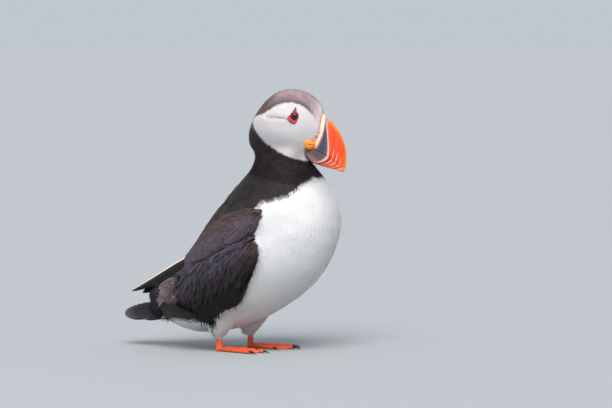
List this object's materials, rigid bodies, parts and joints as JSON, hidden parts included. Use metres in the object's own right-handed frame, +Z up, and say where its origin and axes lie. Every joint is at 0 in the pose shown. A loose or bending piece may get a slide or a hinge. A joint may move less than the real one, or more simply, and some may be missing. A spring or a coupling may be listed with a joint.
{
  "type": "standing atlantic puffin",
  "caption": "Standing puffin, a black and white seabird with a deep banded bill and webbed orange feet, as a still life-size display model.",
  "frame": {"origin": "on the floor, under the middle of the bounding box", "axes": "+X the way the body faces, +Y to the bird's left, +Z up"},
  "size_m": [0.1876, 0.1072, 0.2068],
  "materials": {
    "black_feathers": "matte feathers",
    "white_feathers": "matte feathers",
    "face_feathers": "short matte feathers",
    "bill_horn": "satin horn with pale grooves",
    "cere_skin": "satin pitted skin",
    "gape_skin": "wrinkled satin skin",
    "foot_skin": "scaly satin skin",
    "claw_horn": "satin horn",
    "eye": "wet gloss"
  },
  "bodies": {
    "root": {"head": "face_feathers", "bill_cere": "cere_skin", "bill_upper": "bill_horn", "bill_lower": "bill_horn", "left_eye": "eye", "left_gape": "gape_skin", "right_eye": "eye", "right_gape": "gape_skin", "trunk": "white_feathers", "neck": "black_feathers", "tail": "black_feathers", "left_wing_shoulder": "black_feathers", "left_wing_coverts": "black_feathers", "left_wing_primaries": "black_feathers", "left_thigh": "white_feathers", "left_foot": "foot_skin", "left_shank": "foot_skin", "left_claw_1": "claw_horn", "left_claw_2": "claw_horn", "left_claw_3": "claw_horn", "right_wing_shoulder": "black_feathers", "right_wing_coverts": "black_feathers", "right_wing_primaries": "black_feathers", "right_thigh": "white_feathers", "right_foot": "foot_skin", "right_shank": "foot_skin", "right_claw_1": "claw_horn", "right_claw_2": "claw_horn", "right_claw_3": "claw_horn"}
  },
  "joints": []
}
